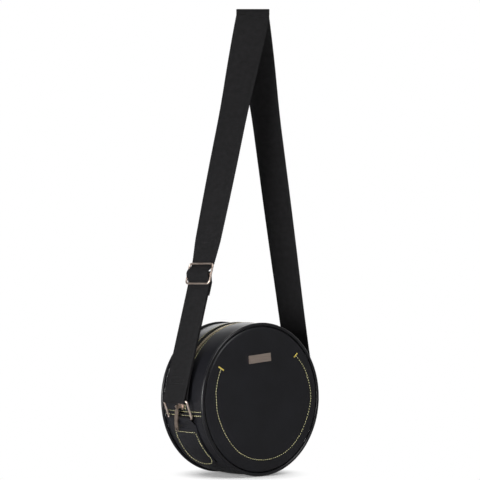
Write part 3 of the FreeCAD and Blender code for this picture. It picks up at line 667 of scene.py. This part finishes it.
# Strap: one length of 40 mm ribbed polyester webbing. From the left ring it goes up behind the adjuster's
# lower bar, over its middle bar and behind its upper bar, over the top fold and down to the right ring,
# where it is turned back and sewn.
# Ribbed webbing: dull black yarn in cross ribs. Real ribs are 0.9 mm apart; drawn at 1.6 mm to show.
RIB = 0.0016
WARP_END = 0.0012
webbing, tree = new_material("ribbed_webbing")
weave = node(tree, "UVMap", uv_map="weave").outputs[0]
ribs = node(tree, "TexWave", weave, Scale=WAVE / RIB, bands_direction="Y").outputs[1]
ends = node(tree, "TexWave", weave, Scale=WAVE / WARP_END, bands_direction="X").outputs[1]
fuzz = node(tree, "TexNoise", weave, Scale=1 / 0.006, Detail=4.0).outputs[0]
yarns = node(tree, "Math", ribs, ends, operation="MULTIPLY").outputs[0]
rise = node(tree, "Bump", Strength=0.6, Distance=0.0003, Height=yarns).outputs[0]
skin = node(tree, "BsdfPrincipled", two_tone(tree, fuzz, "121213", "1A191B"), Roughness=0.8,
            Specular_IOR_Level=0.25, Normal=rise)
node(tree, "OutputMaterial", skin.outputs[0])

UPRIGHT = Matrix.Translation(drum) @ Matrix.Scale(MM, 4)
LEFT_BAR = (Vector(joint["left_ring_swing"]["pos_m"]) - drum) / MM
RIGHT_BAR = Vector((91.4336, 0.0, 17.92))
KNEE = Vector((-55.6, 0.0, 165.0))
PEG_R = 8.0
PEG = Vector((18.7, 0.0, 455.2))
TWIST = 50.6
WEB = 1.4
WEB_GAP = 0.3
WEB_HALF = 20.0
RING_WIRE = 1.25
WRAP = RING_WIRE + WEB_GAP + WEB / 2
CREST = PEG_R + WEB / 2
TOWARD = Vector((-math.cos(math.radians(TWIST)), -math.sin(math.radians(TWIST)), 0))
# How far each leg has turned towards the top fold, as (share of its length, share of the twist).
LEFT_TURN = [(0.0, 0.0), (0.362, 0.0), (0.385, 0.19), (0.41, 0.2), (0.515, 0.29), (0.62, 0.345),
             (0.725, 0.36), (0.78, 0.42), (1.0, 1.0)]
RIGHT_TURN = [(0.0, 0.0), (0.12, 0.2), (0.24, 0.23), (0.35, 0.29), (0.5, 0.34), (0.72, 0.36),
              (0.78, 0.46), (1.0, 1.0)]
Y_AXIS = Vector((0, 1, 0))
SLIDE_RISE = 147.0
SLIDE_HALF = 12.0
FRAME_WIRE = 1.2
BAR_WIRE = 1.1
BAR_PLAY = 0.2
FRAME_OUT = WEB / 2 + WEB_GAP + FRAME_WIRE
BAR_WRAP = BAR_WIRE + BAR_PLAY + WEB / 2
BULGE = FRAME_OUT + BAR_WRAP + WEB + WEB_GAP
TURN_STEP = 0.008


def turn_at(share, marks):
    # The strap's turn along a leg, averaged over a short stretch so that it changes smoothly.
    total = 0.0
    for i in range(-4, 5):
        at = min(1.0, max(0.0, share + TURN_STEP * i))
        for (a, low), (b, high) in zip(marks, marks[1:]):
            if at <= b:
                total += low + (high - low) * (at - a) / (b - a)
                break
    return TWIST * total / 9


def facing(turn):
    angle = math.radians(turn)
    return Vector((math.sin(angle), -math.cos(angle), 0))


def bulge(distance):
    # Height and slope of the strap's wave over the adjuster's middle bar.
    if abs(distance) >= SLIDE_HALF:
        return 0.0, 0.0
    turn = math.pi * distance / SLIDE_HALF
    return BULGE / 2 * (1 + math.cos(turn)), -BULGE / 2 * math.pi / SLIDE_HALF * math.sin(turn)


BOW = 3.5
BOW_AT = 12.0


def bow(distance):
    # Stiff webbing bows off the drum just above its ring, which leaves room for the zip's slider.
    x = distance / BOW_AT
    return BOW * x * math.exp(1 - x), BOW / BOW_AT * (1 - x) * math.exp(1 - x)


def strap_leg(bar, side, marks, knee=None):
    # A leg of the strap, from a ring's bar to the top fold: its foot, way up, outer side, length, and a
    # function that gives its station at a distance from the foot. A leg with a knee carries the adjuster.
    top = PEG + TOWARD * (-side * CREST)
    bend = knee or top
    flat = Vector((bend.x - bar.x, 0, bend.z - bar.z)).normalized()
    out = Vector((side * flat.z, 0, -side * flat.x))
    foot = bar + out * WRAP
    below = (bend - foot).length
    length = below + (top - bend).length
    line = (bend - foot).normalized()
    upper = (top - bend).normalized() if knee else line
    middle = (SLIDE_RISE - foot.z) / line.z

    def station(s):
        way = line if s < below else upper
        centre = foot + line * s if s < below else bend + upper * (s - below)
        wide = facing(turn_at(s / length, marks))
        level = (wide - way * wide.dot(way)).normalized()
        outer = level.cross(way) * -side
        lift, slope = bulge(s - middle) if knee else bow(s)
        return centre + outer * lift, level, (way + outer * slope).normalized()

    return foot, line, out, length, station


def round_bar(bar, out, side):
    # Half a turn under a ring's bar, from the inner face to the outer one.
    stations = []
    for i in range(12):
        normal = Matrix.Rotation(math.radians(side * 180.0 * (1 - i / 12)), 3, "Y") @ out
        stations.append((bar + normal * WRAP, facing(0), normal.cross(Y_AXIS) * side))
    return stations


TOOTH = 1.35
TOOTH_DEEP = 0.4


def stretch(station, low, high):
    # Stations on a leg from one distance to another, half an edge tooth apart.
    count = round((high - low) / TOOTH)
    return [station(low + (high - low) * i / count) for i in range(count + 1)]


def webbing_strip(name, stations, started, body, solid):
    # A length of webbing. The weft turns back at its edges, which gives them fine teeth 2.7 mm apart.
    bm = drawn(flat_outline(WEB_HALF, WEB, 6), stations, started)
    row = bm.verts.layers.float["row"]
    run = bm.verts.layers.float["run"]
    runs = sorted({vert[run] for vert in bm.verts})
    inner = set(runs[1::2])
    wides = {at: station[1] for at, station in zip(runs, stations)}
    for vert in bm.verts:
        if vert[run] in inner and abs(vert[row]) > WEB_HALF - 1.0:
            vert.co -= wides[vert[run]] * math.copysign(TOOTH_DEEP, vert[row])
    return piece(name, bm, webbing, body=body, stands_for=[solid], place=UPRIGHT)


FOOT, LINE, left_out, left_long, on_left = strap_leg(LEFT_BAR, -1, LEFT_TURN, KNEE)
_, right_line, right_out, right_long, on_right = strap_leg(RIGHT_BAR, 1, RIGHT_TURN)
MIDDLE = (SLIDE_RISE - FOOT.z) / LINE.z
PAST_SLIDE = 1.0
SPLIT = MIDDLE + SLIDE_HALF + PAST_SLIDE

# The length at the adjuster slides with it, and the lengths above and below give or take up the slack.
slide_from = UPRIGHT @ FOOT
slide_to = UPRIGHT @ (FOOT + LINE * (MIDDLE - SLIDE_HALF - PAST_SLIDE))
route = round_bar(LEFT_BAR, left_out, -1) + stretch(on_left, 0.0, SPLIT)
low_strap = webbing_strip("strap_left_lower", route, 0.0, None, "strap_webbing")
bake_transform(low_strap, "strap", "adjuster", start=slide_from, end=slide_to)
route = stretch(on_left, SPLIT, left_long)
high_strap = webbing_strip("strap_left_upper", route, SPLIT, None, "strap_webbing")
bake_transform(high_strap, "adjuster", "strap", start=UPRIGHT @ route[0][0], end=UPRIGHT @ route[-1][0])
route = route[-1:]
for i in range(1, 20):
    angle = math.pi * i / 20
    up = TOWARD * math.cos(angle) + Vector((0, 0, 1)) * math.sin(angle)
    along = TOWARD * -math.sin(angle) + Vector((0, 0, 1)) * math.cos(angle)
    route.append((PEG + up * CREST, facing(TWIST), along))
right_leg = round_bar(RIGHT_BAR, right_out, 1) + stretch(on_right, 0.0, right_long)
route += [(centre, wide, -along) for centre, wide, along in right_leg[::-1]]
FOLD = 38.0
FOLD_MEETS = 8.0
LAYER = WEB + WEB_GAP


def under_right(s, more=0.0):
    # A station on the turned end, which leaves the bar's inner side and soon lies flat under the leg.
    centre, wide, _ = on_right(s)
    apart = 0.5 + 0.5 * math.cos(math.pi * min(1.0, s / FOLD_MEETS))
    depth = LAYER + (2 * WRAP - LAYER) * apart + more
    return centre + wide.cross(right_line).normalized() * depth, wide, right_line


route += [under_right(FOLD * i / 28) for i in range(1, 29)]
webbing_strip("strap_over_top", route, left_long, "strap", "strap_webbing")

# Strap sewing: black bonded thread, a box of stitches through both layers above the left ring, and two
# rows across the turned end above the right one.
strap_thread = thread_yarn("bonded_black_thread", "0C0C0D", "1B1B1D")
BOX_HALF = 12.0
BOX_LOW = 20.0
BOX_HIGH = 28.0
PROUD = WEB / 2 + 0.1
sides = ((-BOX_HALF, BOX_HALF, BOX_LOW, BOX_LOW), (BOX_HALF, BOX_HALF, BOX_LOW, BOX_HIGH),
         (BOX_HALF, -BOX_HALF, BOX_HIGH, BOX_HIGH), (-BOX_HALF, -BOX_HALF, BOX_HIGH, BOX_LOW))
box = []
for y, next_y, s, next_s in sides:
    for i in range(60):
        up, y_at = s + (next_s - s) * i / 60, y + (next_y - y) * i / 60
        box.append((FOOT + LINE * up + left_out * PROUD + Y_AXIS * y_at, left_out))
stitches("strap_box_stitch", sewn(box), strap_thread, body="strap", place=UPRIGHT)
END_ROWS = (4.0, 9.0)
END_HALF = 18.0
rows = []
for below in END_ROWS:
    middle, wide, _ = under_right(FOLD - below, PROUD)
    rows += sewn([(middle + wide * (END_HALF * (i / 100 - 1)), -right_out) for i in range(201)])
stitches("strap_end_stitch", rows, strap_thread, body="strap", place=UPRIGHT)


# Strap return: the other end of the same webbing. From the left ring it soon meets the strap, follows it
# under the adjuster, turns round the middle bar, and is sewn to itself on the inside.
MEET = 24.0
BEFORE_BAR = 4.0
SEWN = 25.0
TAIL_FROM = 12.0
TAIL_DEPTH = 5.6
TAIL_FALLS = [(-6.6, 4.48), (-9.0, 5.3)]
MIDDLE_BAR = FOOT + LINE * MIDDLE + left_out * FRAME_OUT


def under_strap(distance):
    # A station one layer inside the strap's left leg, by its distance from the middle bar.
    lift, slope = bulge(distance)
    normal = (left_out - LINE * slope).normalized()
    centre = FOOT + LINE * (MIDDLE + distance) + left_out * lift - normal * LAYER
    return centre, facing(0), (LINE + left_out * slope).normalized()


low = LEFT_BAR - left_out * WRAP + LINE * WEB_GAP
joined = under_strap(MEET - MIDDLE)[0]
climb = (joined - low).normalized()
route = [(low + (joined - low) * i / 18, facing(0), climb) for i in range(18)]
beside = MIDDLE - MEET - BEFORE_BAR
count = round(beside / TOOTH)
route += [under_strap(MEET - MIDDLE + beside * i / count) for i in range(count + 1)]
for i in range(13):
    normal = Matrix.Rotation(math.radians(180.0 * i / 12), 3, "Y") @ left_out
    route.append((MIDDLE_BAR + normal * BAR_WRAP, facing(0), Y_AXIS.cross(normal)))
tail = [(-TAIL_FROM - (SEWN - TAIL_FROM) * i / 9, TAIL_DEPTH) for i in range(10)]
for distance, depth in TAIL_FALLS + tail:
    route.append((MIDDLE_BAR + LINE * distance - left_out * depth, facing(0), -LINE))
back_strap = webbing_strip("strap_return", route, 0.0, None, "strap_return_run")
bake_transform(back_strap, "strap", "adjuster", start=slide_from, end=slide_to)


# Adjuster: a slide of plated wire bent to a flat frame outside the strap, with a middle bar that the
# return is sewn round.
paint(light_gold, "adjuster_frame", "adjuster_bar")


# Badge: a small bare plate of brushed metal, set flat on the front panel. Its solid is right as made, and
# gets rounded edges here.
# Brushed plate: fine lines along its length, drawn about 0.4 mm apart to show, and broken bright edges.
badge_metal, tree = new_material("brushed_plate")
place = node(tree, "TexCoord").outputs["Object"]
lines = node(tree, "Mapping", place, Scale=(60.0, 2500.0, 2500.0), Rotation=(0, math.radians(TILT), 0))
grain = node(tree, "TexNoise", lines.outputs[0], Scale=1.0, Detail=3.0).outputs[0]
gloss = node(tree, "MapRange", grain, To_Min=0.36, To_Max=0.5).outputs[0]
rise = node(tree, "Bump", Strength=0.15, Distance=0.0001, Height=grain).outputs[0]
skin = node(tree, "BsdfPrincipled", two_tone(tree, grain, "C9B5A8", "E6D6CA"), Metallic=1.0, Roughness=gloss,
            Normal=rise)
node(tree, "OutputMaterial", skin.outputs[0])
paint(badge_metal, "badge_plate")
BADGE_EDGE = 0.45
rim = nodes["badge_plate"].modifiers.new("edges", "BEVEL")
rim.width = BADGE_EDGE * MM
rim.segments = 3
rim.limit_method = "ANGLE"
rim.angle_limit = math.radians(40)


# Studio: a white floor under the drum and a white sweep behind it, in a dim room with soft boxes to the
# left, behind and above in front. The camera stands a little above the drum, front left of it.
AZIMUTH = -39.572
FLOOR = cad_low.z - 0.0004
FLOOR_HALF = 4.0
bm = bmesh.new()
bmesh.ops.create_grid(bm, x_segments=1, y_segments=1, size=FLOOR_HALF,
                      matrix=Matrix.Translation((drum.x, 0, FLOOR)))
floor_mesh = bpy.data.meshes.new("floor")
bm.to_mesh(floor_mesh)
bm.free()
floor = bpy.data.objects.new("floor", floor_mesh)
bpy.context.scene.collection.objects.link(floor)
# White paper: white where the camera sees it, and as a sweep behind where metal mirrors it. Near the drum
# it keeps the drum's shadow.
paper, tree = new_material("white_paper")
path = node(tree, "LightPath").outputs
place = node(tree, "TexCoord").outputs["Object"]
glow = node(tree, "Emission", Color=(1.0, 1.0, 1.0, 1.0), Strength=1.0).outputs[0]
away = node(tree, "VectorMath", place, operation="DISTANCE")
away.inputs[1].default_value = (drum.x, 0, FLOOR)
near = node(tree, "MapRange", away.outputs["Value"], From_Min=0.035, From_Max=0.085, To_Min=0.2, To_Max=1.0,
            interpolation_type="SMOOTHSTEP").outputs[0]
white = node(tree, "BsdfDiffuse", Color=(0.94, 0.94, 0.94, 1.0)).outputs[0]
seen = node(tree, "MixShader", near, white, glow).outputs[0]
turned_place = node(tree, "Mapping", place, Rotation=(0, 0, math.radians(-AZIMUTH))).outputs[0]
depth = node(tree, "SeparateXYZ", turned_place).outputs["Y"]
sweep = node(tree, "MapRange", depth, From_Min=0.4, From_Max=1.2).outputs[0]
dim = node(tree, "BsdfDiffuse", Color=(0.35, 0.35, 0.35, 1.0)).outputs[0]
mirrored_floor = node(tree, "MixShader", sweep, dim, glow).outputs[0]
unseen = node(tree, "MixShader", path["Is Glossy Ray"], white, mirrored_floor).outputs[0]
node(tree, "OutputMaterial", node(tree, "MixShader", path["Is Camera Ray"], unseen, seen).outputs[0])
floor_mesh.materials.append(paper)
floor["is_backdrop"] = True

world = bpy.data.worlds.new("studio")
bpy.context.scene.world = world
world.use_nodes = True
tree = world.node_tree
tree.nodes.clear()
way = node(tree, "TexCoord").outputs["Generated"]
turned_way = node(tree, "Mapping", way, Rotation=(0, 0, math.radians(-AZIMUTH))).outputs[0]
side = node(tree, "SeparateXYZ", turned_way).outputs
sweep = node(tree, "MapRange", side["Y"], From_Min=0.4, From_Max=1.0, To_Min=0.0, To_Max=0.85).outputs[0]
wall = node(tree, "MapRange", side["X"], From_Min=-0.3, From_Max=1.0, To_Min=0.06, To_Max=0.26).outputs[0]
room = node(tree, "Math", sweep, wall, operation="ADD").outputs[0]
path = node(tree, "LightPath").outputs["Is Camera Ray"]
level = node(tree, "Mix", path, data_type="FLOAT", A=room, B=1.0).outputs[0]
backdrop = node(tree, "Background", Color=(1.0, 1.0, 1.0, 1.0), Strength=level)
node(tree, "OutputWorld", backdrop.outputs[0])


def softbox(name, at, aim, wide, tall, power):
    # A lamp at a place, aimed at another, both from the drum's centre in metres.
    lamp = bpy.data.lights.new(name, "AREA")
    lamp.shape = "RECTANGLE"
    lamp.size = wide
    lamp.size_y = tall
    lamp.energy = power
    made = bpy.data.objects.new(name, lamp)
    made.location = drum + Vector(at)
    made.rotation_euler = (Vector(at) - Vector(aim)).to_track_quat("Z", "Y").to_euler()
    bpy.context.scene.collection.objects.link(made)


softbox("left_box", (-0.78, -0.16, 0.0), (0, 0, 0.05), 0.36, 0.5, 8)
softbox("back_box", (1.05, 1.45, 0.75), (0, 0, 0.08), 0.9, 0.6, 3)
softbox("front_box", (-0.2, -1.2, 1.6), (0, 0, 0.1), 1.2, 1.2, 17)

# The camera, as fitted to the photograph: angles in degrees, and the lens from its focal length in pixels.
HEIGHT = 3.514
DISTANCE = 2.3589
PITCH_UP = 4.560
YAW = 0.0234
FOCAL = 1978.9
PICTURE = 480
SENSOR = 36


def behind(azimuth, elevation):
    # The way from the drum's centre to a camera at these angles.
    a, e = math.radians(azimuth), math.radians(elevation)
    return Vector((math.sin(a) * math.cos(e), -math.cos(a) * math.cos(e), math.sin(e)))


camera_data = bpy.data.cameras.new("camera")
camera_data.lens = FOCAL / PICTURE * SENSOR
camera_data.sensor_width = SENSOR
camera = bpy.data.objects.new("camera", camera_data)
camera.location = drum + behind(AZIMUTH, HEIGHT) * DISTANCE
camera.rotation_euler = behind(AZIMUTH + YAW, HEIGHT - PITCH_UP).to_track_quat("Z", "Y").to_euler()
bpy.context.scene.collection.objects.link(camera)
bpy.context.scene.camera = camera
bpy.context.scene.view_settings.view_transform = "Standard"

low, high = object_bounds()
{"cad": [list(cad_low), list(cad_high)], "visual": [list(low), list(high)]}
